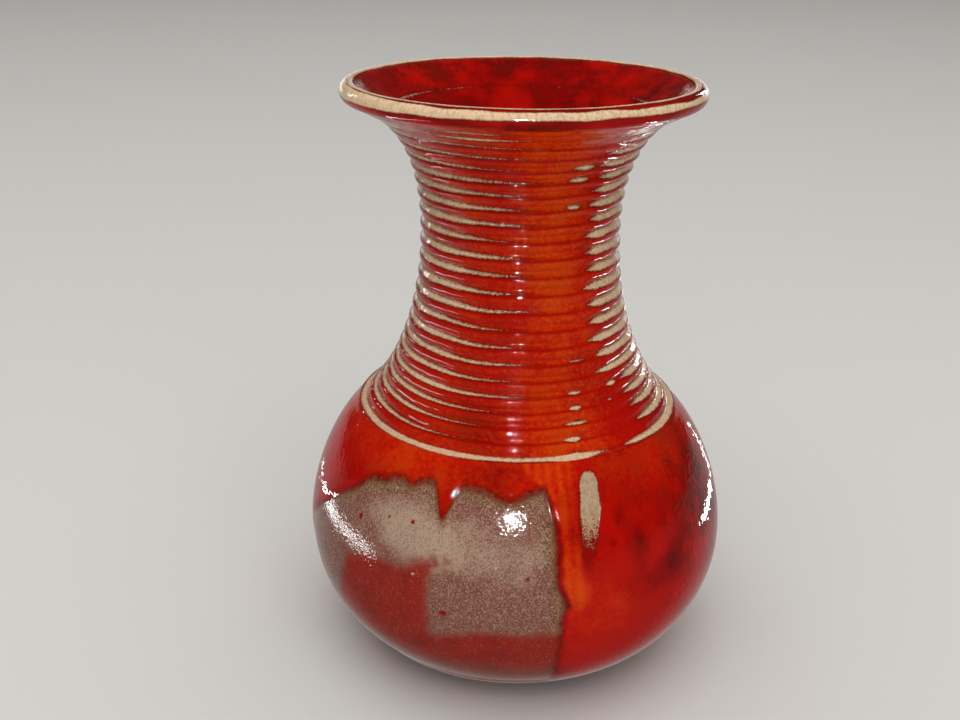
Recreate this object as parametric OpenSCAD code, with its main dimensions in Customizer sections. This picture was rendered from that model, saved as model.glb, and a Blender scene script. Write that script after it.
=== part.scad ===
// Ceramic bud vase: a wheel-thrown stoneware wall in one piece, with its fused glaze coats.
// Millimetres, Z up, origin at the centre of the foot on the surface it stands on.
// The side with the bare window and the thick run of glaze faces -Y.

/* [Body] */
// Height from the foot to the top of the lip
total_height = 150; // [142:1:160]
// Radius of the bare clay where the belly is widest
belly_radius = 54.4; // [50:0.2:57]
// Height at which the belly is widest
belly_height = 33; // [30:0.5:37]
// Outer radius of the foot ring
foot_radius = 28.6; // [26:0.2:31]
// Width of the foot ring
foot_width = 6.2; // [4:0.2:8]
// Depth of the hollow trimmed inside the foot ring
foot_recess = 2; // [1:0.2:3]
// Thickness of the clay wall
wall = 4.4; // [3.6:0.2:5]
// Thickness of the clay floor
floor_thickness = 4.6; // [4:0.2:6]

/* [Neck] */
// Radius of the bare clay at the edge where the belly stops and the neck begins
shoulder_radius = 40.6; // [38.6:0.2:42]
// Height of that edge
shoulder_height = 66.9; // [65:0.1:69]
// Height of the tread between that edge and the first notch
shoulder_tread = 1.3; // [0.8:0.1:1.8]
// Radius of the bare clay at the narrowest place
neck_radius = 23.8; // [21:0.2:26]
// Height of the narrowest place
neck_height = 114; // [110:0.5:118]

/* [Lip] */
// Radius of the rounded edge of the lip, over its glaze
lip_roll = 2.4; // [2:0.1:2.8]
// Radius over the lip
lip_radius = 44.1; // [42:0.1:46]

/* [Throwing ribs] */
// Number of ribs from the shoulder groove to the flare
rib_count = 20; // [16:1:22]
// Height at which the ribs die out under the lip
rib_top = 141; // [138:0.5:142]
// Depth of a rib from crest to notch
rib_depth = 0.8; // [0.4:0.1:1]

/* [Glaze] */
// Thickness of the thin speckled first coat
base_coat = 0.3; // [0.2:0.05:0.4]
// Thickness of the red coat over it
red_coat = 0.5; // [0.3:0.05:0.6]
// Thickness of the run of glaze that came down the belly
run_coat = 1; // [0.7:0.1:1.2]
// Thickness of the pale glaze left on the lip
lip_coat = 0.35; // [0.2:0.05:0.4]
// Thickness of the red coat inside
liner_coat = 0.4; // [0.3:0.05:0.5]

/* [Hidden] */
$fn = 96;

roll_centre = [lip_radius - lip_roll, total_height - lip_roll];
roll_clay = lip_roll - lip_coat;
roll_start = -75;
roll_end = 115;
floor_height = foot_recess + floor_thickness;
belly_inside = belly_radius - wall;
neck_inside = neck_radius - wall + 0.6;

// A point on the rounded lip at an angle from level, at a distance from its centre
function on_roll(a, r) = roll_centre + r * [cos(a), sin(a)];

// Curves as [radius, height], each with two ends and two handles. The outside goes up.
lower_belly = [[foot_radius + 0.4, 1.5], [foot_radius + 12, 3.2],
               [belly_radius, belly_height - 18], [belly_radius, belly_height]];
upper_belly = [[belly_radius, belly_height], [belly_radius, belly_height + 13],
               [shoulder_radius + 8, shoulder_height - 7], [shoulder_radius, shoulder_height]];
lower_neck = [[shoulder_radius, shoulder_height], [shoulder_radius - 9, shoulder_height + 6.5],
              [neck_radius, neck_height - 22], [neck_radius, neck_height]];
flare = [[neck_radius, neck_height], [neck_radius, neck_height + 17],
         on_roll(roll_start, roll_clay) - [12.6, 3.4], on_roll(roll_start, roll_clay)];
// The inside goes down
inner_flare = [on_roll(roll_end, roll_clay), on_roll(roll_end, roll_clay) - [9.5, 4.4],
               [neck_inside, neck_height + 20], [neck_inside, neck_height - 2]];
inner_neck = [[neck_inside, neck_height - 2], [neck_inside, neck_height - 22],
              [shoulder_radius - 13, shoulder_height + 10.5],
              [shoulder_radius - 5, shoulder_height]];
inner_shoulder = [[shoulder_radius - 5, shoulder_height],
                  [shoulder_radius + 3, shoulder_height - 9.5],
                  [belly_inside, belly_height + 13], [belly_inside, belly_height]];
inner_bowl = [[belly_inside, belly_height], [belly_inside, belly_height - 14],
              [belly_inside - 11, floor_height], [foot_radius - 4, floor_height]];

function bezier(p, t) = (1 - t) ^ 3 * p[0] + 3 * (1 - t) ^ 2 * t * p[1]
    + 3 * (1 - t) * t ^ 2 * p[2] + t ^ 3 * p[3];
function run_of(p, t) = (1 - t) ^ 2 * (p[1] - p[0]) + 2 * (1 - t) * t * (p[2] - p[1])
    + t ^ 2 * (p[3] - p[2]);
// A sample is a point on the clay and the direction out of the clay there
function sample(p, t) = let (d = run_of(p, t), n = norm(d)) [bezier(p, t), [d[1], -d[0]] / n];
function along(p, steps) = [for (i = [0 : steps - 1]) sample(p, i / steps)];
// Where a curve that only rises reaches a height, found by halving
function at_height(p, z, low = 0, high = 1, turns = 0) =
    let (mid = (low + high) / 2)
    turns > 18 ? mid
    : bezier(p, mid)[1] < z ? at_height(p, z, mid, high, turns + 1)
    : at_height(p, z, low, mid, turns + 1);

// Ribs are closest together at the shoulder and under the lip
first_notch = shoulder_height + shoulder_tread;
function notch_height(k) = let (s = k / rib_count)
    first_notch + (rib_top - first_notch) * (s - 0.03 * sin(360 * s));
function fade(k) = min(1, (rib_count - k) / 4);
// Each rib rises slowly out of its notch to a crest, then steps back in to the next notch
rib_shape = [[0, -0.6], [0.28, 0.05], [0.6, 0.4], [0.86, 0.1]];
function rib_point(k, u, out) =
    let (z = notch_height(k) + u * (notch_height(k + 1) - notch_height(k)),
         curve = z < neck_height ? lower_neck : flare,
         s = sample(curve, at_height(curve, z)))
    [s[0] + rib_depth * fade(k) * out * s[1], s[1]];

belly_samples = concat(along(lower_belly, 7), along(upper_belly, 8));
shoulder_edge = let (s = sample(upper_belly, 1)) [s[0] + 0.3 * rib_depth * s[1], s[1]];
neck_samples = concat(
    [shoulder_edge],
    [for (k = [0 : rib_count - 1], s = rib_shape) rib_point(k, s[0], s[1])],
    [for (i = [0 : 2]) let (t = at_height(flare, rib_top)) sample(flare, t + (1 - t) * i / 2)]);
lip_samples = [for (i = [0 : 10]) let (a = roll_start + (roll_end - roll_start) * i / 10)
    [on_roll(a, roll_clay), [cos(a), sin(a)]]];
inside_samples = concat(along(inner_flare, 9), along(inner_neck, 7),
    along(inner_shoulder, 7), along(inner_bowl, 7), [[inner_bowl[3], [0, 1]]]);
outside_samples = concat(belly_samples, neck_samples);

function lifted(samples, by) = [for (s = samples) s[0] + by * s[1]];
function turned(list) = [for (i = [len(list) - 1 : -1 : 0]) list[i]];
function part_of(list, first, last) = [for (i = [first : last]) list[i]];

// A coat of glaze over some samples, from one lift off the clay to another
module coat(samples, low, high) {
    rotate_extrude()
        polygon(concat(lifted(samples, high), turned(lifted(samples, low))));
}

// The outline of the window that the red coat left bare, seen square on
module window_outline() {
    polygon([[-41, 30], [-31, 47.5], [-23, 53.5], [-9, 59.5], [-1, 62.2], [5.3, 55],
             [7.5, 60], [11.2, 61.8], [18.5, 59], [25, 61.2], [31, 48.5], [34, 36],
             [32.5, 29], [5, 26]]);
}

// The outline of the run of glaze: a straight trickle that ends in a round pool
module run_outline() {
    translate([-3, 42]) square([6, 23]);
    translate([0.8, 41]) circle(r = 4.2);
}

// Turns an outline drawn square on so that it faces one way round the vase
module facing(azimuth) {
    rotate([0, 0, azimuth + 90]) rotate([90, 0, 0]) linear_extrude(height = 80) children();
}

module stoneware_body() {
    color("tan")
    rotate_extrude()
        polygon(concat(
            [[0, foot_recess], [foot_radius - foot_width - 0.6, foot_recess],
             [foot_radius - foot_width, 0.6], [foot_radius - foot_width + 0.6, 0],
             [foot_radius - 0.8, 0], [foot_radius, 0.6]],
            lifted(outside_samples, 0), lifted(part_of(lip_samples, 1, 9), 0),
            lifted(inside_samples, 0), [[0, floor_height]]));
}

module base_glaze() {
    color("rosybrown")
    coat(part_of(outside_samples, 2, len(outside_samples) - 1), 0, base_coat);
}

module belly_glaze() {
    color("firebrick")
    difference() {
        coat(concat(part_of(belly_samples, 3, len(belly_samples) - 1), [neck_samples[0]]),
             base_coat, base_coat + red_coat);
        facing(-116) window_outline();
        facing(-76) run_outline();
    }
}

module neck_glaze() {
    color("orangered")
    coat(neck_samples, base_coat, base_coat + red_coat);
}

module glaze_run() {
    color("chocolate")
    intersection() {
        coat(part_of(belly_samples, 4, len(belly_samples) - 1),
             base_coat, base_coat + run_coat);
        facing(-76) run_outline();
    }
}

module lip_glaze() {
    color("antiquewhite")
    coat(lip_samples, 0, lip_coat);
}

module liner_glaze() {
    color("darkred")
    rotate_extrude()
        polygon(concat(lifted(inside_samples, 0), [[0, floor_height]],
            [[0, floor_height + liner_coat]], turned(lifted(inside_samples, liner_coat))));
}

stoneware_body();
base_glaze();
belly_glaze();
neck_glaze();
glaze_run();
lip_glaze();
liner_glaze();
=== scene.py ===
"""Ceramic bud vase: thrown stoneware under a speckled first glaze and a broken red one.

Every outside surface is one turned outline, lifted off the clay by the thickness of its glaze.
Where the red coat is thin it turns tan, and where it is missing it dips under the first coat.
"""

import math

import bpy
import numpy as np
from bpy.props import FloatProperty, FloatVectorProperty, IntProperty, PointerProperty
from mathutils import Matrix, Vector


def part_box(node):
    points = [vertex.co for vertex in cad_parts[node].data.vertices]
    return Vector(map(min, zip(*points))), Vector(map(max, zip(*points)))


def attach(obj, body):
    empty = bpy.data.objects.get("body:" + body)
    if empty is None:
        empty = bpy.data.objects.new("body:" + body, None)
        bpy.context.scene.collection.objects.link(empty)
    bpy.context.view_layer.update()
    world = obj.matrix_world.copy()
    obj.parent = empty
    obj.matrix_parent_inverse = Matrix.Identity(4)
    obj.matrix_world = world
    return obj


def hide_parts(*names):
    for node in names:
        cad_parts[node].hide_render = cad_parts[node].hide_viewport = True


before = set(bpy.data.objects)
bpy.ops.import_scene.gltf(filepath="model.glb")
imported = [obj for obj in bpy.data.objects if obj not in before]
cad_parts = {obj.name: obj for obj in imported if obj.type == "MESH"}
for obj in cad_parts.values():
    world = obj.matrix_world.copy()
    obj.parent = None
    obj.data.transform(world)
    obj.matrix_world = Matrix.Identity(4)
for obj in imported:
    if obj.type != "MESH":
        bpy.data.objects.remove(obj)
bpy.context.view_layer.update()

bl_info = {
    "name": "Glazed Stoneware Vase",
    "version": (1, 0, 0),
    "blender": (4, 5, 0),
    "location": "3D View > Sidebar > Vase",
    "description": "Builds a thrown stoneware vase with a red glaze that breaks over its ribs",
    "category": "Add Mesh",
}

MM = 0.001
TAU = 2 * math.pi


# Sizes that come from the frame


def widest(node):
    low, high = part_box(node)
    return max(high.x, high.y, -low.x, -low.y)


TOP_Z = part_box("lip_glaze")[1].z
LIP_RADIUS = widest("lip_glaze")
BELLY_RADIUS = widest("belly_glaze")
# The clay's edge at the shoulder, a little under the lowest point of the neck's red coat
EDGE_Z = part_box("neck_glaze")[0].z - 0.35 * MM
FLOOR_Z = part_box("liner_glaze")[0].z
BOWL_RADIUS = widest("liner_glaze")


# What a user would change


class VaseShape(bpy.types.PropertyGroup):
    belly_z: FloatProperty(
        name="Belly height", description="Height where the belly is widest",
        default=33 * MM, unit="LENGTH")
    shoulder: FloatProperty(
        name="Shoulder radius", description="Bare clay radius at the edge under the neck",
        default=40.6 * MM, unit="LENGTH")
    neck: FloatProperty(
        name="Neck radius", description="Bare clay radius at the waist",
        default=23.8 * MM, unit="LENGTH")
    neck_z: FloatProperty(
        name="Neck height", description="Height of the waist",
        default=114 * MM, unit="LENGTH")
    foot: FloatProperty(
        name="Foot radius", description="Outer radius of the foot ring",
        default=28.6 * MM, unit="LENGTH")
    foot_width: FloatProperty(
        name="Foot width", description="Width of the foot ring",
        default=6.2 * MM, unit="LENGTH")
    foot_recess: FloatProperty(
        name="Foot recess", description="Depth of the hollow inside the foot ring",
        default=2 * MM, unit="LENGTH")
    wall: FloatProperty(
        name="Wall", description="Thickness of the clay wall",
        default=4.4 * MM, unit="LENGTH")
    roll: FloatProperty(
        name="Lip roll", description="Radius of the rounded lip over its glaze",
        default=2.4 * MM, unit="LENGTH")
    ribs: IntProperty(
        name="Ribs", description="Throwing ribs from shoulder to flare", default=20)
    rib_top: FloatProperty(
        name="Rib top", description="Height where the ribs die out",
        default=141 * MM, unit="LENGTH")
    rib_depth: FloatProperty(
        name="Rib depth", description="Crest to notch", default=0.95 * MM, unit="LENGTH")
    tread: FloatProperty(
        name="Shoulder tread", description="Height from the shoulder edge to the first notch",
        default=1.3 * MM, unit="LENGTH")


class VaseGlaze(bpy.types.PropertyGroup):
    base_coat: FloatProperty(
        name="First coat", description="Thickness of the speckled first coat",
        default=0.3 * MM, unit="LENGTH")
    red_coat: FloatProperty(
        name="Red coat", description="Thickness of the red coat",
        default=0.5 * MM, unit="LENGTH")
    run_coat: FloatProperty(
        name="Run", description="Thickness of the run of glaze on the belly",
        default=1.0 * MM, unit="LENGTH")
    lip_coat: FloatProperty(
        name="Lip coat", description="Thickness of the glaze left on the lip",
        default=0.35 * MM, unit="LENGTH")
    liner_coat: FloatProperty(
        name="Liner", description="Thickness of the red coat inside",
        default=0.4 * MM, unit="LENGTH")
    red: FloatVectorProperty(
        name="Red", description="The red coat at its usual thickness",
        subtype="COLOR", default=(0.47, 0.004, 0.0008))
    deep_red: FloatVectorProperty(
        name="Deep red", description="The red coat in its darker drifts",
        subtype="COLOR", default=(0.24, 0.0015, 0.0008))
    hot: FloatVectorProperty(
        name="Thick red", description="The red coat where it is thick",
        subtype="COLOR", default=(0.6, 0.018, 0.001))
    orange: FloatVectorProperty(
        name="Orange", description="Grains in the thickest red",
        subtype="COLOR", default=(0.78, 0.1, 0.002))
    tan: FloatVectorProperty(
        name="Tan", description="The red coat broken thin over an edge",
        subtype="COLOR", default=(0.6, 0.43, 0.27))
    edge: FloatVectorProperty(
        name="Edge line", description="The dark line round a thin place",
        subtype="COLOR", default=(0.13, 0.022, 0.008))
    grey: FloatVectorProperty(
        name="Grey", description="The paler first coat",
        subtype="COLOR", default=(0.46, 0.31, 0.23))
    umber: FloatVectorProperty(
        name="Umber", description="The darker first coat",
        subtype="COLOR", default=(0.235, 0.08, 0.06))
    stain: FloatVectorProperty(
        name="Stain", description="The first coat stained by a veil of red",
        subtype="COLOR", default=(0.31, 0.013, 0.006))
    clay: FloatVectorProperty(
        name="Clay", description="Bare fired clay",
        subtype="COLOR", default=(0.42, 0.29, 0.2))


class VaseStage(bpy.types.PropertyGroup):
    distance: FloatProperty(
        name="Distance", description="From the camera to the vase's axis",
        default=0.2877, unit="LENGTH")
    height: FloatProperty(
        name="Height", description="Of the camera over the floor",
        default=0.1922, unit="LENGTH")
    tilt: FloatProperty(
        name="Tilt", description="How far the camera looks down",
        default=math.radians(21.8), subtype="ANGLE")
    turn: FloatProperty(
        name="Turn", description="How far the camera looks to the left",
        default=math.radians(1.95), subtype="ANGLE")
    roll: FloatProperty(
        name="Roll", description="How far the camera is rolled",
        default=math.radians(0.54), subtype="ANGLE")
    lens: FloatProperty(
        name="Lens", description="Focal length in millimetres on a 36 mm sensor", default=44.2)
    floor: FloatVectorProperty(
        name="Floor", description="Colour of the floor and backdrop",
        subtype="COLOR", default=(0.72, 0.71, 0.68))


def shape():
    return bpy.context.scene.vase_shape


def glaze():
    return bpy.context.scene.vase_glaze


# Outlines


def bezier(ends, count):
    """Points on a curve with two ends and two handles, without its last point."""
    p = np.array(ends, float)
    t = np.arange(count)[:, None] / count
    return (1 - t) ** 3 * p[0] + 3 * (1 - t) ** 2 * t * p[1] + 3 * (1 - t) * t ** 2 * p[2] + t ** 3 * p[3]


def outward(line):
    """The direction out of the clay at each point of an outline that goes up the outside."""
    d = np.gradient(line, axis=0)
    d /= np.maximum(np.hypot(d[:, 0], d[:, 1]), 1e-9)[:, None]
    return np.stack([d[:, 1], -d[:, 0]], 1)


class Outline:
    """An outline of the clay that can be asked for places on it by length or by height."""

    def __init__(self, line):
        self.line = np.array(line)
        self.out = outward(self.line)
        step = np.hypot(*np.diff(self.line, axis=0).T)
        self.length = np.concatenate([[0], np.cumsum(step)])

    def at(self, s):
        """Radius, height and the two parts of the outward direction at some lengths."""
        pick = [self.line[:, 0], self.line[:, 1], self.out[:, 0], self.out[:, 1]]
        return [np.interp(s, self.length, v) for v in pick]

    def reach(self, z):
        """The length at which an outline that only rises gets to some heights."""
        return np.interp(z, self.line[:, 1], self.length)


# Where the rounded lip starts outside and ends inside, in degrees up from level
ROLL_START, ROLL_END = -75, 115


def roll_centre():
    return np.array([LIP_RADIUS - shape().roll, TOP_Z - shape().roll])


def on_roll(angle, radius):
    a = math.radians(angle)
    return roll_centre() + radius * np.array([math.cos(a), math.sin(a)])


def clay_radius():
    """Radius of the bare belly."""
    return BELLY_RADIUS - glaze().base_coat - glaze().red_coat


def outer_curves():
    s, mm = shape(), MM
    belly, lip = clay_radius(), on_roll(ROLL_START, s.roll - glaze().lip_coat)
    lower_belly = [(s.foot + 0.4 * mm, 1.5 * mm), (s.foot + 12 * mm, 3.2 * mm),
                   (belly, s.belly_z - 18 * mm), (belly, s.belly_z)]
    upper_belly = [(belly, s.belly_z), (belly, s.belly_z + 13 * mm),
                   (s.shoulder + 8 * mm, EDGE_Z - 7 * mm), (s.shoulder, EDGE_Z)]
    lower_neck = [(s.shoulder, EDGE_Z), (s.shoulder - 9 * mm, EDGE_Z + 6.5 * mm),
                  (s.neck, s.neck_z - 22 * mm), (s.neck, s.neck_z)]
    flare = [(s.neck, s.neck_z), (s.neck, s.neck_z + 17 * mm),
             lip - np.array([12.6, 3.4]) * mm, lip]
    return lower_belly, upper_belly, lower_neck, flare


def belly_outline():
    lower, upper, _, _ = outer_curves()
    return Outline(np.concatenate([bezier(lower, 200), bezier(upper, 200), [upper[3]]]))


def neck_outline():
    _, _, lower, flare = outer_curves()
    return Outline(np.concatenate([bezier(lower, 300), bezier(flare, 300), [flare[3]]]))


def inner_outline():
    """Down the inside, from the lip to the middle of the floor."""
    s, mm = shape(), MM
    start = on_roll(ROLL_END, s.roll - glaze().lip_coat)
    neck, bowl = s.neck - s.wall + 0.6 * mm, BOWL_RADIUS
    flare = [start, start - np.array([9.5, 4.4]) * mm,
             (neck, s.neck_z + 20 * mm), (neck, s.neck_z - 2 * mm)]
    lower_neck = [(neck, s.neck_z - 2 * mm), (neck, s.neck_z - 22 * mm),
                  (s.shoulder - 13 * mm, EDGE_Z + 10.5 * mm), (s.shoulder - 5 * mm, EDGE_Z)]
    upper_bowl = [(s.shoulder - 5 * mm, EDGE_Z), (s.shoulder + 3 * mm, EDGE_Z - 9.5 * mm),
                  (bowl, s.belly_z + 13 * mm), (bowl, s.belly_z)]
    lower_bowl = [(bowl, s.belly_z), (bowl, s.belly_z - 14 * mm),
                  (bowl - 11 * mm, FLOOR_Z), (s.foot - 4 * mm, FLOOR_Z)]
    middle = [(s.foot - 4 * mm, FLOOR_Z), (0.1 * mm, FLOOR_Z)]
    curves = [bezier(c, 200) for c in (flare, lower_neck, upper_bowl, lower_bowl)]
    return Outline(np.concatenate(curves + [middle]))


# Fields: smooth numbers over azimuth in degrees and height in millimetres


def smooth(low, high, x):
    t = np.clip((x - low) / (high - low), 0, 1)
    return t * t * (3 - 2 * t)


def bump(x, centre, half):
    """1 at the centre, falling to nothing a little past half either side."""
    return np.exp(-((x - centre) / half) ** 2)


def wander(azimuth, height, seed, scale=1.0):
    """A slow seamless wobble between about -1 and 1."""
    dice = np.random.default_rng(seed)
    total = np.zeros(np.broadcast(azimuth, height).shape)
    for i in range(7):
        turns = int(round(dice.uniform(1, 9) * scale)) or 1
        climb = dice.normal(0, 0.09) * scale
        total += np.sin(turns * np.radians(azimuth) + climb * height + dice.uniform(0, TAU))
    return total / 3.2


def turned(azimuth, centre):
    """Degrees from a centre, between -180 and 180."""
    return (azimuth - centre + 180) % 360 - 180


# Meshes

# Columns round the axis for each piece
CLAY_COLUMNS, FIRST_COLUMNS, BELLY_COLUMNS = 192, 360, 700
NECK_COLUMNS, LIP_COLUMNS, LINER_COLUMNS = 324, 480, 256


def turned_mesh(name, radius, height, azimuth, ring=True, fields=None):
    """A grid of rows up an outline and columns round the axis, joined into a ring or not."""
    rows, cols = radius.shape
    a = np.radians(azimuth)
    co = np.stack([radius * np.cos(a), radius * np.sin(a), height], -1).reshape(-1, 3)
    r, c = np.meshgrid(np.arange(rows - 1), np.arange(cols if ring else cols - 1), indexing="ij")
    n = (c + 1) % cols
    quads = np.stack([r * cols + c, r * cols + n, (r + 1) * cols + n, (r + 1) * cols + c], -1)
    mesh = bpy.data.meshes.new(name)
    mesh.from_pydata(co.tolist(), [], quads.reshape(-1, 4).tolist())
    for field, values in (fields or {}).items():
        slot = mesh.attributes.new(field, "FLOAT", "POINT")
        slot.data.foreach_set("value", np.broadcast_to(values, radius.shape).astype(np.float32).ravel())
    mesh.update()
    mesh.shade_smooth()
    piece = bpy.data.objects.new(name, mesh)
    bpy.context.scene.collection.objects.link(piece)
    return piece


def grid(values, cols, start=-180.0):
    """Row values beside column azimuths, both as tables."""
    azimuth = start + np.arange(cols) * 360.0 / cols
    return np.meshgrid(np.asarray(values, float), azimuth, indexing="ij")


def settle(piece, material, node):
    piece.data.materials.append(material)
    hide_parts(node)
    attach(piece, "root")
    return piece


# Materials


class Value:
    """A socket that Python arithmetic can be done on: each operation adds a Math node."""

    def __init__(self, recipe, socket):
        self.recipe, self.socket = recipe, socket

    def _do(self, operation, a, b):
        return self.recipe.node("ShaderNodeMath", {"operation": operation}, {0: a, 1: b})

    def __add__(self, other):
        return self._do("ADD", self, other)

    __radd__ = __add__

    def __sub__(self, other):
        return self._do("SUBTRACT", self, other)

    def __rsub__(self, other):
        return self._do("SUBTRACT", other, self)

    def __mul__(self, other):
        return self._do("MULTIPLY", self, other)

    __rmul__ = __mul__

    def most(self, other):
        return self._do("MAXIMUM", self, other)

    def least(self, other):
        return self._do("MINIMUM", self, other)

    def step(self, low, high):
        """0 below low, 1 above high, and a smooth rise between; high may be the lower one."""
        if high < low:
            return 1 - self.step(high, low)
        return self.recipe.node(
            "ShaderNodeMapRange", {"interpolation_type": "SMOOTHSTEP"},
            {"Value": self, "From Min": low, "From Max": high})


class Recipe:
    """One material, or the world, and the calls that add its nodes."""

    def __init__(self, name, kind="materials", place="Object"):
        self.material = getattr(bpy.data, kind).new(name)
        self.material.use_nodes = True
        self.tree = self.material.node_tree
        self.tree.nodes.clear()
        self.place = self.node("ShaderNodeTexCoord", output=place)

    def node(self, kind, settings=None, inputs=None, output=0):
        """Adds a node, with its settings first and then the values or links of its sockets."""
        made = self.tree.nodes.new(kind)
        for key, value in (settings or {}).items():
            setattr(made, key, value)
        for key, value in (inputs or {}).items():
            if isinstance(value, Value):
                self.tree.links.new(value.socket, made.inputs[key])
            else:
                made.inputs[key].default_value = value
        return Value(self, made.outputs[output]) if made.outputs else None

    def field(self, name):
        return self.node("ShaderNodeAttribute", {"attribute_name": name}, output="Fac")

    def stretched(self, x, y, z):
        return self.node(
            "ShaderNodeVectorMath", {"operation": "MULTIPLY"}, {0: self.place, 1: (x, y, z)},
            output="Vector")

    def noise(self, size, detail=2.0, rough=0.5, place=None):
        """Noise from 0 to 1 whose blotches are about size metres across."""
        return self.node(
            "ShaderNodeTexNoise", None,
            {"Vector": place or self.place, "Scale": 0.5 / size, "Detail": detail,
             "Roughness": rough}, output=0)

    def specks(self, size, place=None):
        """Distance from the nearest of many scattered points, about size metres apart."""
        return self.node(
            "ShaderNodeTexVoronoi", None,
            {"Vector": place or self.place, "Scale": 1.0 / size}, output="Distance")

    def mix(self, amount, a, b):
        pad = [tuple(v) + (1.0,) if not isinstance(v, Value) else v for v in (a, b)]
        return self.node(
            "ShaderNodeMix", {"data_type": "RGBA"}, {0: amount, 6: pad[0], 7: pad[1]}, output=2)

    def finish(self, color, roughness, relief, shine=0.5):
        """Joins the colour, roughness and relief in millimetres into the surface."""
        bump = self.node(
            "ShaderNodeBump", None, {"Strength": 1.0, "Distance": MM, "Height": relief},
            output="Normal")
        surface = self.node(
            "ShaderNodeBsdfPrincipled", None,
            {"Base Color": color, "Roughness": roughness, "IOR": 1.52,
             "Specular IOR Level": shine, "Normal": bump}, output="BSDF")
        self.node("ShaderNodeOutputMaterial", None, {"Surface": surface})
        return self.material


# Smaller colours inside the glazes, under those that a user would change
NEAR_RED = (0.15, 0.056, 0.026)
PALE_SPECK = (0.5, 0.36, 0.26)
OCHRE_SPECK = (0.5, 0.34, 0.19)
PIT = (0.12, 0.045, 0.03)
STAIN_SPECK = (0.42, 0.17, 0.11)
DEEP_STAIN = (0.2, 0.01, 0.006)
LOW_VEIL = (0.22, 0.085, 0.06)
CHIP = (0.66, 0.47, 0.3)
RED_SPOT = (0.26, 0.008, 0.004)
DARK_RED = (0.16, 0.003, 0.0015)
SOOT = (0.07, 0.004, 0.002)
RIM_BROWN = (0.33, 0.13, 0.06)
SAND = (0.5, 0.34, 0.21)
SHADED_TAN = (0.46, 0.31, 0.185)
BURNT_CLAY = (0.33, 0.2, 0.13)
CLAY_GRIT = (0.14, 0.08, 0.05)
IRON_FLECK = (0.09, 0.05, 0.035)
DUST_SIZE, GRIT_SIZE = 0.19 * MM, 0.8 * MM


def first_look(r, cover, dust):
    """Colour of the speckled first coat; cover is how far off the red coat is, in millimetres."""
    g = glaze()
    cloud, drift, grit = r.noise(8 * MM, 2.0), r.noise(3 * MM, 3.0), r.noise(GRIT_SIZE, 2.0)
    near = (cover + (drift - 0.5) * 5 + (grit - 0.5) * 3).step(-3.8, -0.6)
    pale = (r.field("pale") + (cloud - 0.5) * 1.2 + (drift - 0.5) * 0.8).step(0.15, 0.85)
    ground = r.mix(pale, g.umber, g.grey)
    ground = r.mix(near * 0.85, ground, NEAR_RED)
    speck = r.mix(near, PALE_SPECK, OCHRE_SPECK)
    many = dust + (grit - 0.5) * 0.3 + near * 0.05
    color = r.mix(many.step(0.43, 0.7) * (0.5 + near * 0.1), ground, speck)
    color = r.mix((dust - (grit - 0.5) * 0.3).step(0.5, 0.34) * 0.45, color, PIT)
    stain = r.field("stain") + (drift - 0.5) * 3 + (grit - 0.5) * 3 + (dust - 0.5) * 4
    stain = stain.step(-1.6, 1.6)
    stained = r.mix((dust + (grit - 0.5) * 0.4).step(0.6, 0.72) * 0.35, g.stain, STAIN_SPECK)
    stained = r.mix(drift.step(0.45, 0.65) * 0.5, stained, DEEP_STAIN)
    color = r.mix(stain * 0.93, color, stained)
    color = r.mix(r.field("veil") * 0.7, color, LOW_VEIL)
    chips = r.specks(4.6 * MM, r.stretched(1, 1, 0.6)).step(0.075, 0.045)
    flecks = (r.field("fleck") + (dust - 0.5) * 0.3).step(0.4, 0.6)
    color = r.mix(chips.most(flecks) * 0.85, color, CHIP)
    spots = (r.field("spot") + (dust - 0.5) * 0.4).step(0.35, 0.7)
    return r.mix(spots, color, RED_SPOT), stain


def creep(cover, dust, grit):
    """0 on the bare first coat and 1 on the red, with a ragged edge between."""
    return (cover + (dust - 0.5) * 3.0 + (grit - 0.5) * 2.2).step(-1.1, 0.9)


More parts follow.
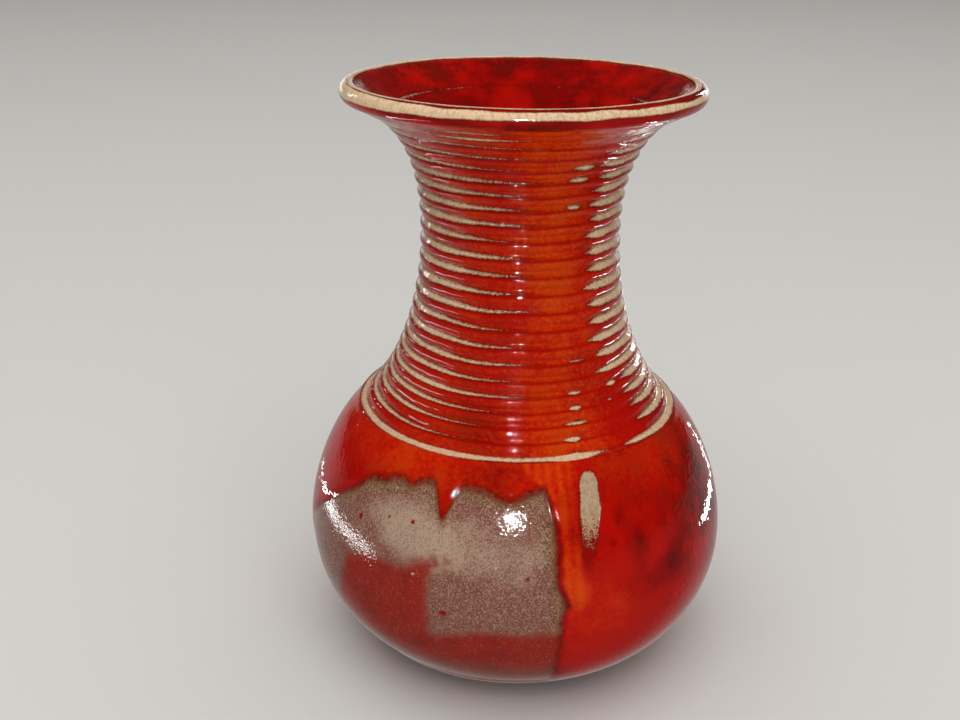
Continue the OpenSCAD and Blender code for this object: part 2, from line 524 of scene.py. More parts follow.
def red_glaze(name, over_first=False, ragged=1.0, pale=1.0, grainy=0.45, peel=0.15, dimple=0.65):
    """The broken red glaze: tan where thin, orange-grained where thick, dark at its edges."""
    g, r = glaze(), Recipe(name)
    thin, warm, dark = r.field("thin"), r.field("warm"), r.field("dark")
    cloud, drift = r.noise(8 * MM, 3.0), r.noise(3.2 * MM, 3.0)
    grain, fine = r.noise(0.6 * MM, 2.0, 0.6), r.noise(0.32 * MM, 2.0, 0.6)
    dust = r.noise(DUST_SIZE, 1.0)
    streak = r.noise(0.5 * MM, 2.0, place=r.stretched(1, 1, 0.3))
    # Clouds of deeper red, then orange and its grains where the coat is thick
    deep = (cloud * 0.6 + drift * 0.4 + dark * 0.25).step(0.48, 0.72)
    color = r.mix(deep * 0.95, g.red, g.deep_red)
    hot = (warm * 0.95 + (drift - 0.5) * 1.3 + (grain - 0.5) * 0.7).step(0.05, 0.9)
    color = r.mix(hot * 0.9, color, g.hot)
    glow = (warm * 0.8 + (drift - 0.5) * 1.2 + (grain - 0.5) * 0.4).step(0.45, 1.15)
    color = r.mix(glow * 0.45, color, g.orange)
    grains = (fine * 0.6 + grain * 0.4 + warm * 0.07).step(0.52, 0.7)
    color = r.mix(grains * (warm * grainy).least(0.8), color, g.orange)
    line = r.field("line") * (0.55 + (grain - 0.5) * 1.6)
    color = r.mix(line.least(0.85).most(0.0), color, g.deep_red)
    mottle = (drift * 0.6 + grain * 0.4 + dark * 0.16).step(0.57, 0.72)
    color = r.mix(mottle * (0.05 + dark * 0.85).least(0.85), color, SOOT)
    # thin is how far in from the outline of a thin place, in millimetres
    bared = thin + ((streak - 0.5) * 0.35 + (dust - 0.5) * 0.4) * ragged
    color = r.mix(bared.step(-0.45, -0.08) * 0.7, color, DARK_RED)
    color = r.mix(bared.step(-0.12, 0.0) * 0.4, color, g.edge)
    speckled = r.mix((dust + (grain - 0.5) * 0.3).step(0.4, 0.6), RIM_BROWN, SAND)
    color = r.mix(bared.step(-0.12, 0.13), color, speckled)
    light, shaded = (tuple(pale * v for v in c) for c in (g.tan, SHADED_TAN))
    cream = r.mix((streak * 0.35 + fine * 0.65).step(0.36, 0.56), shaded, light)
    # cream where the coat is worn thin, held back near each notch by the shade field: painted shade under
    # the rib above, as well as the glaze's darker line in the notch
    worn_less_painted_shade = (bared - r.field("shade") * 0.25).step(0.02, 0.32)
    color = r.mix(worn_less_painted_shade, color, cream)
    bare = bared.step(-0.12, 0.12)
    rough = 0.027 + bare * 0.1 + (grain - 0.5) * 0.015
    relief = r.noise(dimple * MM, 0.0) * peel + drift * 0.06 - bare * 0.07
    if over_first:
        cover = r.field("cover")
        grit = r.noise(GRIT_SIZE, 2.0)
        color = r.mix((cover + (grain - 0.5) * 1.5).step(2.0, 0.0) * 0.85, color, DARK_RED)
        under, _ = first_look(r, cover, dust)
        color = r.mix(creep(cover, dust, grit), under, color)
        rough = rough + cover.step(0.8, 0.0) * 0.05
    return r.finish(color, rough, relief)


def first_glaze():
    r = Recipe("speckled_first_glaze")
    cover, dust, grit = r.field("cover"), r.noise(DUST_SIZE, 1.0), r.noise(GRIT_SIZE, 2.0)
    color, stain = first_look(r, cover, dust)
    color = r.mix(creep(cover, dust, grit), color, DARK_RED)
    rough = 0.085 - 0.03 * stain + (grit - 0.5) * 0.03
    return r.finish(color, rough, r.noise(0.4 * MM, 2.0, 0.6) * 0.055 + grit * 0.045)


def bare_clay():
    g, r = glaze(), Recipe("bare_stoneware")
    cloud, grit = r.noise(9 * MM, 3.0), r.noise(0.7 * MM, 3.0, 0.6)
    turning = r.noise(1.4 * MM, 2.0, place=r.stretched(0.02, 0.02, 1.0))
    color = r.mix(cloud.step(0.3, 0.7), g.clay, BURNT_CLAY)
    color = r.mix(grit.step(0.6, 0.7) * 0.5, color, CLAY_GRIT)
    chips = r.specks(3.0 * MM).step(0.13, 0.08)
    color = r.mix(chips * 0.7, color, IRON_FLECK)
    return r.finish(color, 0.82 + (grit - 0.5) * 0.2, grit * 0.1 + turning * 0.1)


# The red coat: where it is thin, thick or missing. Azimuths in degrees, the front at -90.

# Drips of the red coat into the window: azimuth, length in millimetres, half width in degrees
DRIPS = ((-109.8, 7.0, 2.7), (-91.5, 2.4, 5.5), (-121.5, 1.5, 2.6), (-136.5, -1.4, 4.0))
# Small red spots in the window: azimuth, height, half width and half height in millimetres
SPOTS = ((-136.2, 49.8, 0.8, 1.2), (-126.2, 52.7, 0.5, 0.6), (-118.3, 53.3, 0.75, 0.75),
         (-107.3, 33.5, 1.2, 0.9), (-86.4, 44.0, 0.7, 0.9), (-104.1, 39.4, 0.4, 0.4),
         (-152.0, 36.0, 0.8, 0.7), (-160.0, 28.0, 0.9, 0.8))
# Cream flecks in the window: azimuth, height, half width and half height in millimetres
FLECKS = ((-115.8, 41.6, 0.5, 0.5), (-120.5, 33.6, 0.45, 0.5), (-116.7, 25.3, 0.35, 0.9),
          (-103.7, 45.1, 0.4, 0.8), (-100.6, 45.0, 0.3, 0.5), (-111.5, 38.0, 0.25, 0.7))
# Darker patches in the belly's red: azimuth, height, half width and half height in millimetres
DARK_PATCHES = ((-61.0, 55.6, 2.0, 2.2), (-55.0, 49.5, 1.4, 2.2), (-63.0, 50.0, 1.2, 1.6), (-96.0, 64.0, 2.0, 1.4),
          (-24.0, 55.0, 5.0, 7.0), (-36.0, 61.0, 3.0, 3.0), (-17.0, 46.0, 4.0, 6.0), (-45.0, 40.0, 3.0, 4.0))
# Short tan dashes on the treads: rib, azimuth, half length in degrees, half width in millimetres
DASHES = ((0, -68.5, 3.6, 0.8), (1, -65.6, 5.0, 0.5), (2, -64.6, 3.2, 0.65), (3, -63.9, 3.2, 0.45),
          (3, -43.0, 3.4, 0.65), (2, -46.6, 1.4, 0.25), (14, -61.0, 4.5, 0.45), (16, -61.0, 6.0, 0.5),
          (17, -60.0, 6.0, 0.5), (5, -60.0, 4.0, 0.15))
# Millimetres that one degree of azimuth covers, at the height of each feature
BELLY_ARC, RUN_ARC, MARK_ARC, PILL_ARC = 0.94, 0.92, 0.93, 0.83
# Azimuth of the window's left edge, and the height in millimetres of its foot
WINDOW_LEFT, WINDOW_FOOT = -170, 9
# Rows up each rib, the parts of its rise at its crest and its tread, and its height in millimetres
RIB_STEPS = 14
CREST = 0.58
TREAD = 0.8
RIB_PITCH = 3.7


def window_right(z):
    """Azimuth of the window's edge along the run of glaze."""
    upper = -79.1 - 0.038 * np.maximum(0, z - 52) ** 1.75
    return upper + 2.1 * bump(z, 37.3, 3.2) + 1.2 * smooth(38, 30, z) + 0.1 * np.sin(z * 1.3)


def window_cover(az, z):
    """Millimetres from the edge of the bare window: more than nothing on the red side."""
    top = 62.2 - 0.05 * np.maximum(0, -118 - az) ** 1.6 + 0.3 * wander(az, z * 0, 3, 4.0)
    for centre, length, half in DRIPS:
        top = top - length * bump(az, centre, half)
    to_right = (az - window_right(z)) * BELLY_ARC
    to_left = (WINDOW_LEFT - az) * BELLY_ARC + 1.2 * wander(az * 0, z, 5)
    return np.maximum.reduce([z - top, to_right, to_left, (WINDOW_FOOT - z) * 1.3])


def stain_depth(az, z):
    """Millimetres in from the edge of the veil of red over the first coat."""
    left = (az + 139.4 + 0.35 * np.maximum(0, 39 - z)) * BELLY_ARC
    top = 39.3 + 2.9 * smooth(-140, -131, az) + 4.4 * smooth(-120, -110, az)
    patch = np.minimum.reduce([left, (-111.6 - az) * BELLY_ARC, top - z])
    smear = 0.9 - np.hypot((az + 112.5) * 0.35, z - 45 - (az + 112.5) * 0.2)
    strip = np.minimum(29.3 - 3.2 * smooth(-98, -111, az) - z, left)
    return np.maximum.reduce([patch, smear, strip])


def pill_depth(az, z):
    """Millimetres in from the edge of the thin place beside the run; it fades out downward."""
    across = np.abs(turned(az, -67.6 - 0.2 * (62 - z))) * PILL_ARC
    half = 2.4 - 0.12 * np.maximum(0, 57 - z) + 0.08 * np.sin(z * 0.9)
    body = half - np.hypot(across, np.maximum(0, z - 62.5))
    return np.minimum(body, 0.055 * (z - 52.3))


def run_edges(az, z):
    """Millimetres in from the left and from the right edge of the run of glaze."""
    left = (az - window_right(z)) * RUN_ARC + 6 * smooth(60.5, 67, z)
    right_edge = -72.2 + 2.6 * bump(z, 39, 6) - 0.6 * np.sin(z * 0.35) + 1.5 * smooth(61, 67, z)
    return left, (right_edge - az) * RUN_ARC


def run_shape(az, z):
    """From 0 beside the run of glaze to 1 along its middle."""
    left, right = run_edges(az, z)
    return smooth(-0.4, 1.9, left) * smooth(-1.2, 2.8, right) * smooth(33.5, 38.5, z)


def notch_height(k):
    s = shape()
    first = EDGE_Z + s.tread
    t = np.asarray(k, float) / s.ribs
    return first + (s.rib_top - first) * (t - 0.03 * np.sin(TAU * t))


def rib_section():
    """How far out a rib stands at each part of its rise, from notch to notch."""
    u = np.linspace(0, 1, 400, endpoint=False)
    rise = -0.6 + 1.0 * (1 - (1 - np.clip(u / CREST, 0, 1)) ** 2.2)
    fall = 0.4 - 1.0 * np.clip((u - CREST) / (1 - CREST), 0, 1) ** 1.15
    line = np.where(u < CREST, rise, fall)
    near = np.arange(-12, 13)
    weight = np.exp(-(near / 6.0) ** 2)
    return u, np.convolve(np.tile(line, 3), weight / weight.sum(), "same")[400:800]


def rib_rows(steps):
    """Rib number and part of its rise for each row, from the shoulder's tread up."""
    rows = [(-1, u) for u in np.linspace(CREST, 1, steps // 2, endpoint=False)]
    for k in range(shape().ribs):
        rows += [(k, j / steps) for j in range(steps)]
    return np.array(rows)


def rib_heights(rows):
    k, u = rows[:, 0], rows[:, 1]
    first, low = notch_height(0), EDGE_Z
    ribs = notch_height(k) + u * (notch_height(k + 1) - notch_height(k))
    tread = low + (first - low) * (u - CREST) / (1 - CREST)
    return np.where(k < 0, tread, ribs)


def filled(az, z):
    """How far thick glaze has filled the notches, low down right of the run."""
    return bump(turned(az, -48), 0, 11) * smooth(97, 78, z) * 0.8


def band_width(az, k):
    """Half width of the tan band on a rib's tread, as a part of the rib, under 0 for none."""
    # one set of bands wraps the left side and one the right, and each tapers to points
    nudge = 5 * np.sin(k * 2.4 + 1) + 3 * np.sin(k * 5.1)
    left_end = -90 + nudge - 26 * np.exp(-np.maximum(k, 0) / 1.1)
    left_end = np.where(k < 0, -60, left_end)
    from_left = turned(az, -176)
    left = np.minimum(from_left + 72, (left_end + 176 - from_left))
    right_start = np.where((k >= 0) & (k < 4), -37 + 2 * np.sin(k * 3), -51 + 1.5 * np.sin(k * 4))
    from_right = turned(az, 0)
    right = np.minimum(from_right - right_start, 48 + nudge - from_right)
    left_width = np.clip(left / 58, -1, 1) * (0.6 + 0.4 * smooth(5, 45, from_left))
    right_width = np.clip(right / 9, -1, 1)
    width = np.maximum(left_width, right_width)
    most = np.where(k < 0, 0.24, np.where(k > 14, 0.2 - 0.02 * (k - 14), 0.205))
    uneven = 1 + np.where(k < 0, 0.22, 0.12) * wander(az, k * 9.0, 11, 2.0)
    return np.where(width > 0, most * np.maximum(width, 0) ** 0.85 * uneven, width * 0.3)


def thin_on_ribs(az, k, u):
    """Millimetres in from the outline of the thin glaze on the treads."""
    from_middle = np.abs((u - TREAD + 0.5) % 1 - 0.5)
    from_middle = np.where(k < 0, np.abs(u - TREAD), from_middle)
    depth = (band_width(az, k) - from_middle) * RIB_PITCH
    flare = np.where(k < 0, 1.0 * bump(az, -69, 8), 0)
    depth = depth + flare
    for rib, centre, half, wide in DASHES:
        here = np.where(k == rib, 1.0, 0.0)
        across = turned(az, centre) / half
        dash = wide * (1 - across ** 2) - from_middle * RIB_PITCH
        depth = np.where((here > 0) & (np.abs(across) < 1.6), np.maximum(depth, dash), depth)
    return np.clip(depth, -3, 3)


def rib_lift(az, k, u, z):
    """How far the clay and its glaze stand out on the ribs, in metres."""
    table_u, table_out = rib_section()
    out = np.interp(u, table_u, table_out, period=1)
    fade = np.clip((shape().ribs - k) / 4, 0, 1)
    uneven = 1 + 0.18 * wander(az, k * 11.0, 17)
    return shape().rib_depth * fade * out * uneven * (1 - filled(az, z))


def warm_on_neck(az, z):
    """Where the neck's red is thick and grained with orange."""
    strip = bump(turned(az, -75), 0, 24) + 0.5 * bump(turned(az, -125), 0, 24)
    behind = bump(turned(az, 78), 0, 26) + 0.5 * bump(turned(az, 170), 0, 24)
    return np.clip(strip + behind + 0.18 * wander(az, z, 23), 0, 1)


def dark_on_belly(az, z):
    """Where the belly's red is darker."""
    right = bump(turned(az, -25), 0, 24) * smooth(22, 50, z)
    behind = 0.8 * bump(turned(az, 95), 0, 40)
    dots = 1.6 * bump(az, -76.2, 0.7) * bump(z, 37, 0.7) + 0.7 * bump(az, -76.4, 1.1) * bump(z, 60.6, 2)
    patches = 0.5 * marks(az, z, DARK_PATCHES) + 0.25 * wander(az, z, 29)
    return np.clip(0.75 * right + behind + dots + patches, 0, 1.3)


def warm_on_belly(az, z):
    """Where the belly's red is thick and orange: its collar, the run and its pool."""
    left, _ = run_edges(az, z)
    collar = smooth(53, 66, z) * (0.45 + 0.4 * bump(turned(az, -128), 0, 18))
    streaks = 0.5 + 0.15 * np.sin(az * 1.9 + 2) + 0.45 * bump(z, 43, 4.5)
    run = run_shape(az, z) * smooth(0.2, 2.4, left) * streaks
    below = 0.4 * bump(turned(az, -66), 0, 11) * bump(z, 34, 9)
    return np.clip(collar + run + below + 0.12 * wander(az, z, 31), 0, 1.2)


def marks(az, z, table):
    """1 in the middle of each small mark of a table, falling off round it."""
    here = az * 0
    for centre, up, half, tall in table:
        across = turned(az, centre) * MARK_ARC
        here = np.maximum(here, np.exp(-(across / half) ** 2 - ((z - up) / tall) ** 2))
    return here


def belly_fields(az, z):
    """What the glazes on the belly need to know at each place."""
    return {"cover": np.clip(window_cover(az, z), -9, 9), "thin": np.clip(pill_depth(az, z), -3, 3),
            "stain": np.clip(stain_depth(az, z), -9, 9), "spot": marks(az, z, SPOTS),
            "fleck": marks(az, z, FLECKS), "veil": smooth(22, 12, z),
            "pale": bump(az, -118, 15) * bump(z, 51, 6) + 0.45 * bump(az, -97, 15) * bump(z, 49, 8),
            "warm": warm_on_belly(az, z), "dark": dark_on_belly(az, z)}


# Making the pieces


def lifted(outline, s, lift):
    """Radius and height tables of an outline's places, each lifted outward by so much."""
    r, z, nr, nz = outline.at(s)
    return r + nr * lift, z + nz * lift


def neck_tables(steps, cols, flare_rows):
    """Everything the coats on the neck are worked out from, row by row up the neck."""
    neck, rows = neck_outline(), rib_rows(steps)
    flare = np.linspace(neck.reach(shape().rib_top), neck.length[-1], flare_rows + 1)
    s, az = grid(np.concatenate([neck.reach(rib_heights(rows)), flare]), cols)
    k = np.concatenate([rows[:, 0], np.full(flare_rows + 1, shape().ribs)])[:, None] + az * 0
    u = np.concatenate([rows[:, 1], np.linspace(0, 1, flare_rows + 1)])[:, None] + az * 0
    s = s + 0.16 * MM * wander(az, s / MM, 37) * smooth(0, 4 * MM, s)
    _, z, _, _ = neck.at(s)
    return neck, s, az, k, u, z / MM


def neck_lift(az, k, u, z):
    thin = np.where(k < shape().ribs, thin_on_ribs(az, k, u), faint_bands(az, z))
    lift = rib_lift(az, k, u, z) - 0.13 * MM * smooth(-0.25, 0.3, thin)
    return lift, thin


def faint_bands(az, z):
    """Thin glaze over the last marks of the fingers under the flare."""
    width = 0.35 + 0.25 * wander(az, z * 0, 41) - 0.5 * bump(turned(az, -72), 0, 22)
    first = width - np.abs(z - 142.6) * 1.2
    return np.maximum(first, width - 0.15 - np.abs(z - 144.6) * 1.2)


class MakeClay(bpy.types.Operator):
    """The clay wall, from the foot ring over the lip and down inside to the floor"""

    bl_idname = "vase.clay"
    bl_label = "Clay body"

    def execute(self, context):
        mm, s = MM, shape()
        neck, at, az, k, u, z = neck_tables(6, CLAY_COLUMNS, 4)
        high = lifted(neck, at, rib_lift(az, k, u, z))
        belly = belly_outline()
        low_s, _ = grid(np.linspace(0, belly.length[-1], 70)[:-1], CLAY_COLUMNS)
        low = lifted(belly, low_s, 0.0)
        width, recess = s.foot_width, s.foot_recess
        foot = [(0.1 * mm, recess), (s.foot - width - 3 * mm, recess * 0.95),
                (s.foot - width - 1.2 * mm, recess * 0.8), (s.foot - width - 0.2 * mm, 0.5 * mm),
                (s.foot - width + 0.5 * mm, 0.08 * mm), (s.foot - width + 1 * mm, 0),
                (s.foot - 1 * mm, 0), (s.foot - 0.4 * mm, 0.15 * mm), (s.foot, 0.7 * mm)]
        roll = [on_roll(a, s.roll - glaze().lip_coat) for a in range(ROLL_START + 10, ROLL_END, 10)]
        inner = inner_outline()
        inside = np.stack(inner.at(np.linspace(0, inner.length[-1], 140))[:2], 1)
        ring = np.ones((1, CLAY_COLUMNS))
        radius = [np.array(foot)[:, :1] * ring, low[0], high[0], np.array(roll)[:, :1] * ring,
                  inside[:, :1] * ring]
        height = [np.array(foot)[:, 1:] * ring, low[1], high[1], np.array(roll)[:, 1:] * ring,
                  inside[:, 1:] * ring]
        piece = turned_mesh("clay_body", np.concatenate(radius), np.concatenate(height), az[:1])
        settle(piece, bare_clay(), "stoneware_body")
        return {"FINISHED"}


class MakeFirstCoat(bpy.types.Operator):
    """The thin speckled first coat over the whole outside"""

    bl_idname = "vase.first_coat"
    bl_label = "First coat"

    def execute(self, context):
        g = glaze()
        belly = belly_outline()
        start = belly.reach(2.6 * MM)
        s, az = grid(np.linspace(start, belly.length[-1], 150)[:-1], FIRST_COLUMNS)
        edge = smooth(start, start + 1.2 * MM, s)
        low = lifted(belly, s, g.base_coat * (0.02 + 0.98 * edge) - 0.05 * MM * (1 - edge))
        neck, at, naz, k, u, z = neck_tables(6, FIRST_COLUMNS, 4)
        high = lifted(neck, at, rib_lift(naz, k, u, z) + 0.25 * MM)
        fields = belly_fields(az, low[1] / MM)
        # under the neck's coat there is no window, so nothing of its pattern
        above = {"cover": 9, "stain": -9, "spot": 0, "fleck": 0, "veil": 0, "pale": 0}
        fields = {name: np.concatenate([fields[name], naz * 0 + value]) for name, value in above.items()}
        piece = turned_mesh("first_coat", np.concatenate([low[0], high[0]]),
                            np.concatenate([low[1], high[1]]), az[:1], fields=fields)
        settle(piece, first_glaze(), "base_glaze")
        return {"FINISHED"}


class MakeBellyCoat(bpy.types.Operator):
    """The red coat on the belly, with the window it left bare"""

    bl_idname = "vase.belly_coat"
    bl_label = "Belly coat"

    def execute(self, context):
        g = glaze()
        belly = belly_outline()
        start = belly.reach(4.2 * MM)
        s, az = grid(np.linspace(start, belly.length[-1], 136), BELLY_COLUMNS)
        _, z, _, _ = belly.at(s)
        z = z / MM
        fields = belly_fields(az, z)
        cover = fields["cover"]
        thick = smooth(-1.2, 3.2, cover)
        edge = smooth(start, start + 2 * MM, s)
        top = smooth(belly.length[-1] - 3.5 * MM, belly.length[-1], s)
        lift = g.base_coat - 0.12 * MM + (g.red_coat + 0.12 * MM) * thick * edge
        lift = lift - 0.1 * MM * smooth(-0.4, 0.4, fields["thin"])
        lift = lift + 0.06 * MM * wander(az, z, 43) * thick * edge
        crest = rib_lift(az, -1 + az * 0, CREST + az * 0, z)
        lift = lift + crest * top ** 2
        radius, height = lifted(belly, s, lift)
        piece = turned_mesh("belly_coat", radius, height, az[:1], fields=fields)
        look = red_glaze("red_glaze_on_belly", True, pale=0.85, grainy=0.2, peel=0.07)
        settle(piece, look, "belly_glaze")
        return {"FINISHED"}


class MakeNeckCoat(bpy.types.Operator):
    """The red coat on the ribbed neck, broken to tan on the treads"""

    bl_idname = "vase.neck_coat"
    bl_label = "Neck coat"

    def execute(self, context):
        g = glaze()
        neck, s, az, k, u, z = neck_tables(RIB_STEPS, NECK_COLUMNS, 18)
        lift, thin = neck_lift(az, k, u, z)
        lift = lift + g.base_coat + g.red_coat
        # the glaze gathers on the lower part of each rib
        lift = lift + 0.12 * MM * bump(u, 0.3, 0.22) * (k < shape().ribs)
        under_lip = smooth(neck.length[-1] - 3 * MM, neck.length[-1], s)
        lift = lift * (1 - under_lip) + (g.lip_coat - 0.12 * MM) * under_lip
        radius, height = lifted(neck, s, lift)
        on_ribs = (k < shape().ribs) * 1.0
        even = 1 - bump(turned(az, -48), 0, 13)
        crest = bump(u, CREST + 0.06, 0.1) * on_ribs * (k >= 0)
        # shade darkens the upper part of each tread towards its notch: painted shade under the rib above, as
        # well as the glaze's own darker line there
        fields = {"thin": thin, "line": crest * (0.35 + 0.65 * even),
                  "shade": smooth(0.74, 1.0, u) * on_ribs,
                  "warm": warm_on_neck(az, z) * (1 - 0.35 * crest),
                  "dark": np.clip(0.08 + 0.25 * wander(az, z, 47), 0, 1)}
        piece = turned_mesh("neck_coat", radius, height, az[:1], fields=fields)
        look = red_glaze("red_glaze_on_neck", pale=1.35, peel=0.17, dimple=1.15)
        settle(piece, look, "neck_glaze")
        return {"FINISHED"}


class MakeRun(bpy.types.Operator):
    """The thick run of glaze down the front of the belly, with its pool"""

    bl_idname = "vase.run"
    bl_label = "Run of glaze"

    def execute(self, context):
        g = glaze()
        belly = belly_outline()
        low, high = belly.reach(33.5 * MM), belly.reach(66 * MM)
        s, az = np.meshgrid(np.linspace(low, high, 150), np.linspace(-92, -64, 140), indexing="ij")
        _, z, _, _ = belly.at(s)
        z = z / MM
        ends = smooth(66, 60, z)
        lift = g.base_coat - 0.12 * MM + (g.run_coat - 0.05 * MM) * run_shape(az, z) * (0.6 + 0.4 * ends)
        radius, height = lifted(belly, s, lift + 0.06 * MM * bump(z, 42, 5))
        fields = belly_fields(az, z)
        piece = turned_mesh("run_coat", radius, height, az[:1], False, fields)
        look = red_glaze("red_glaze_in_run", True, grainy=0.25, peel=0.07)
        settle(piece, look, "glaze_run")
        return {"FINISHED"}


class MakeLip(bpy.types.Operator):
    """The thin pale coat over the rolled lip"""

    bl_idname = "vase.lip"
    bl_label = "Lip coat"

    def execute(self, context):
        mm, s = MM, shape()
        angle, az = grid(np.linspace(ROLL_START, ROLL_END, 40), LIP_COLUMNS)
        proud = s.roll + 0.05 * mm * wander(az, angle * 0.1, 53)
        proud = proud - 0.25 * mm * smooth(ROLL_END - 14, ROLL_END, angle)
        a, centre, arc = np.radians(angle), roll_centre(), np.radians(s.roll / mm)
        radius, height = centre[0] + proud * np.cos(a), centre[1] + proud * np.sin(a)
        # the red laps up from below and from inside, with a ragged edge
        left = bump(turned(az, -155), 0, 38)
        low = 4 - 12 * left + 4 * wander(az, az * 0, 59, 3.0)
        high = 50 + 22 * left + 4 * wander(az, az * 0, 61, 3.0) - 10 * bump(turned(az, -30), 0, 22)
        thin = np.minimum(angle - low, high - angle) * arc
        thin = np.maximum(thin, -0.22 - 0.12 * smooth(105, 80, angle) * (angle < high))
        thin = np.where(angle > high, np.maximum(thin, -0.2), thin)
        thin = np.where(angle < low, (angle - low) * arc, thin)
        # a second thin pale line runs round the top of the roll, a painted highlight along the rim's top
        crown_highlight = 0.75 + 0.12 * wander(az, az * 0, 63, 3.0) - np.abs(angle - 93) * arc
        thin = np.maximum(thin, crown_highlight)
        fields = {"thin": np.clip(thin, -3, 3), "warm": 0.5 * smooth(-25, -60, angle),
                  "dark": np.clip(0.4 + 0.4 * wander(az, angle * 0.3, 67), 0, 1)}
        piece = turned_mesh("lip_coat", radius, height, az[:1], fields=fields)
        look = red_glaze("pale_glaze_on_lip", ragged=0.45, pale=1.4, peel=0.08)
        settle(piece, look, "lip_glaze")
        return {"FINISHED"}


class MakeLiner(bpy.types.Operator):
    """The red coat inside, from the lip to the floor"""

    bl_idname = "vase.liner"
    bl_label = "Liner"

    def execute(self, context):
        g, inner = glaze(), inner_outline()
        s, az = grid(np.linspace(0, inner.length[-1], 230), LINER_COLUMNS)
        _, z, _, _ = inner.at(s)
        z = z / MM
        rings = 0.1 * MM * np.sin(s / MM * 2 * np.pi / 4.6 + 0.6 * wander(az, z, 71))
        start = smooth(0, 1.5 * MM, s)
        lift = g.liner_coat * (0.1 + 0.9 * start) + rings * start * (s < inner.length[-1] * 0.8)
        radius, height = lifted(inner, s, lift)
        width = 0.12 * wander(az, az * 0, 73) + 0.22
        line = width - np.abs(z - 143.1 - 0.25 * wander(az, az * 0, 79)) * 0.8
        # dark is high all over the inside: partly the glaze's own dark mottles, partly painted shade inside
        # the vase
        fields = {"thin": np.clip(line, -3, 3) - 0.25, "warm": np.clip(0.12 * wander(az, z, 83), 0, 1),
                  "dark": np.clip(0.6 + 0.25 * wander(az, z, 89), 0, 1)}
        piece = turned_mesh("liner_coat", radius, height, az[:1], fields=fields)
        settle(piece, red_glaze("red_glaze_inside"), "liner_glaze")
        return {"FINISHED"}


FLOOR_RADIUS, FLOOR_BEND, WALL_TOP, FLOOR_SIDES = 3.0, 1.0, 3.2, 96
# The lights: name, azimuth, tilt, distance, sides, power, where it is seen, height it faces
LIGHTS = (
    ("overhead", -100, 70, 1.3, (1.6, 1.6), 6.6, "colour", 0.07),
    ("front", -80, 30, 1.2, (1.2, 1.2), 5.0, "colour", 0.07),
    ("ceiling", 90, 86, 2.7, (5.0, 5.0), 72.0, "colour", 0.07),
    ("left_window", 139, 16, 1.1, (0.08, 0.26), 0.5, "gloss", 0.07),
    ("right_window", 62, 14, 1.1, (0.06, 0.26), 0.5, "gloss", 0.07),
    ("back_window", 90, 4, 1.2, (1.5, 0.2), 1.2, "gloss", 0.07),
    ("front_lamp", -91, 21.3, 0.386, (0.012, 0.012), 0.8, "gloss", 0.07),
    # low strips that draw the thin crescents of light on both sides of the belly
    ("left_strip", 144, 0, 0.15, (0.03, 0.0015), 0.00099, "gloss", 0.009),
    ("left_strip", 167, 0, 0.15, (0.072, 0.003), 0.0162, "gloss", 0.012),
    ("left_strip", 192, 0, 0.15, (0.06, 0.003), 0.0162, "gloss", 0.015),
    ("right_strip", 42, 0, 0.14, (0.0025, 0.045), 0.0045, "gloss", 0.026),
    ("far_strip", 76, 0, 0.26, (0.1, 0.02), 0.013, "gloss", 0.01),
    ("right_strip", 25, 0, 0.147, (0.06, 0.006), 0.03, "gloss", 0.008),
)
SENSOR = 36.0


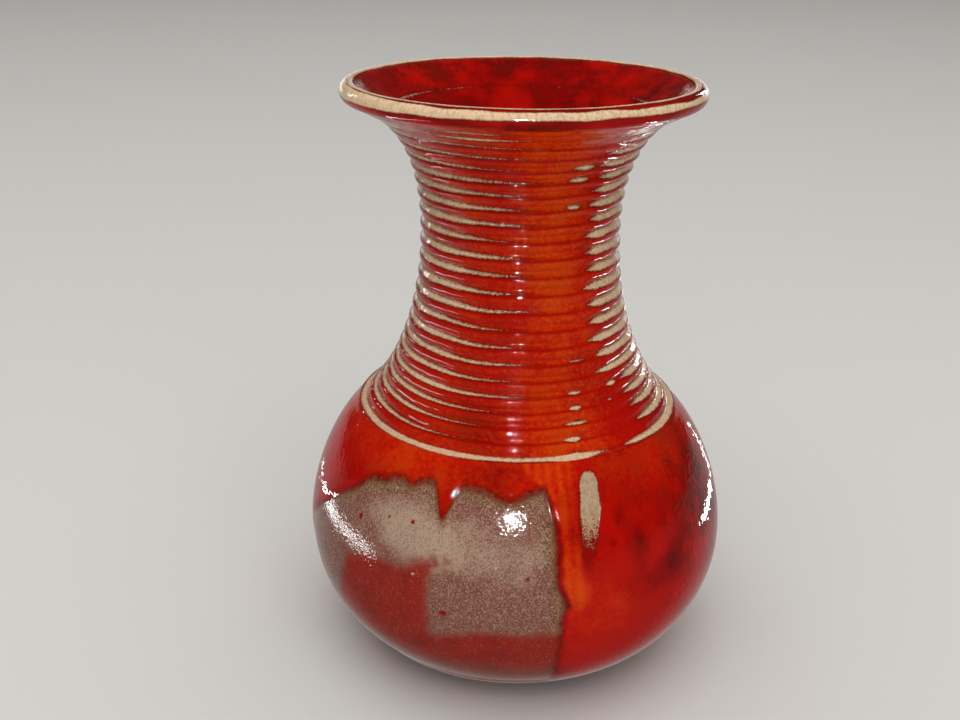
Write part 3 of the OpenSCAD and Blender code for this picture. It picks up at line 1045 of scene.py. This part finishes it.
class MakeStage(bpy.types.Operator):
    """The floor with its backdrop, the soft lights and the camera"""

    bl_idname = "vase.stage"
    bl_label = "Stage"

    def floor(self, look):
        """A flat round floor that sweeps up into a wall far away on every side."""
        n, bend = FLOOR_SIDES, FLOOR_BEND
        line = [(FLOOR_RADIUS + bend * math.sin(a), bend - bend * math.cos(a))
                for a in np.linspace(0, math.pi / 2, 24)]
        line = [(0.0, 0.0)] + line + [(FLOOR_RADIUS + bend, WALL_TOP)]
        sides = np.linspace(0, TAU, n + 1)[:-1]
        co = [(r * math.cos(a), r * math.sin(a), z) for r, z in line for a in sides]
        quads = [(n * i + j, n * i + (j + 1) % n, n * (i + 1) + (j + 1) % n, n * (i + 1) + j)
                 for i in range(len(line) - 1) for j in range(n)]
        mesh = bpy.data.meshes.new("floor")
        mesh.from_pydata(co, [], quads)
        mesh.validate()
        mesh.shade_smooth()
        floor = bpy.data.objects.new("floor", mesh)
        bpy.context.scene.collection.objects.link(floor)
        r = Recipe("pale_floor")
        color = r.mix(r.noise(0.2), look.floor, tuple(0.97 * v for v in look.floor))
        mesh.materials.append(r.finish(color, 0.8, r.noise(0.004, 3.0) * 0.02, 0.0))
        floor.visible_glossy = False

    def light(self, name, azimuth, tilt, away, size, power, seen, middle):
        """A soft rectangle of light that faces the vase and is seen in its gloss or its colour."""
        lamp = bpy.data.lights.new(name, "AREA")
        lamp.shape, lamp.size, lamp.size_y = "RECTANGLE", size[0], size[1]
        lamp.energy = power
        made = bpy.data.objects.new(name, lamp)
        a, t = math.radians(azimuth), math.radians(tilt)
        way = Vector((math.cos(a) * math.cos(t), math.sin(a) * math.cos(t), math.sin(t)))
        made.location = way * away + Vector((0, 0, middle))
        made.rotation_euler = way.to_track_quat("Z", "Y").to_euler()
        made.visible_camera = False
        made.visible_glossy = seen != "colour"
        made.visible_diffuse = seen != "gloss"
        bpy.context.scene.collection.objects.link(made)

    def room(self):
        """A dim room above the horizon and the pale floor's own light below it."""
        r = Recipe("studio", "worlds", "Generated")
        up = r.node("ShaderNodeSeparateXYZ", None, {0: r.place}, output="Z")
        back = r.node("ShaderNodeSeparateXYZ", None, {0: r.place}, output="Y")
        floor_glow = up.step(0.04, -0.1) * (0.07 + back.step(0.1, 0.8) * 0.3)
        glow = r.node(
            "ShaderNodeBackground", None,
            {"Color": (1.0, 0.95, 0.9, 1.0), "Strength": 0.03 + floor_glow})
        r.node("ShaderNodeOutputWorld", None, {"Surface": glow})
        return r.material

    def camera(self, look):
        data = bpy.data.cameras.new("camera")
        data.lens, data.sensor_width, data.clip_start = look.lens, SENSOR, 0.01
        made = bpy.data.objects.new("camera", data)
        turn = Matrix.Rotation(look.turn, 3, "Z") @ Matrix.Rotation(math.pi / 2 - look.tilt, 3, "X")
        turn = turn @ Matrix.Rotation(look.roll, 3, "Z")
        made.matrix_world = Matrix.Translation((0, -look.distance, look.height)) @ turn.to_4x4()
        bpy.context.scene.collection.objects.link(made)
        bpy.context.scene.camera = made

    def execute(self, context):
        scene, look = bpy.context.scene, bpy.context.scene.vase_stage
        self.camera(look)
        self.floor(look)
        for row in LIGHTS:
            self.light(*row)
        scene.world = self.room()
        scene.view_settings.view_transform = "Standard"
        return {"FINISHED"}


class VasePanel(bpy.types.Panel):
    bl_idname = "VIEW3D_PT_vase"
    bl_label = "Vase"
    bl_space_type = "VIEW_3D"
    bl_region_type = "UI"
    bl_category = "Vase"

    def draw(self, context):
        for group in (context.scene.vase_shape, context.scene.vase_glaze, context.scene.vase_stage):
            box = self.layout.box()
            for name in group.bl_rna.properties.keys():
                if name not in ("rna_type", "name"):
                    box.prop(group, name)
        for maker in MAKERS:
            self.layout.operator(maker.bl_idname)


GROUPS = {"vase_shape": VaseShape, "vase_glaze": VaseGlaze, "vase_stage": VaseStage}
MAKERS = (MakeClay, MakeFirstCoat, MakeBellyCoat, MakeNeckCoat, MakeRun, MakeLip, MakeLiner, MakeStage)


def register():
    for cls in (*GROUPS.values(), *MAKERS, VasePanel):
        bpy.utils.register_class(cls)
    for name, group in GROUPS.items():
        setattr(bpy.types.Scene, name, PointerProperty(type=group))


def unregister():
    for name in GROUPS:
        delattr(bpy.types.Scene, name)
    for cls in reversed((*GROUPS.values(), *MAKERS, VasePanel)):
        bpy.utils.unregister_class(cls)


def main():
    register()
    for maker in MAKERS:
        group, name = maker.bl_idname.split(".")
        getattr(getattr(bpy.ops, group), name)()


if __name__ == "__main__":
    main()
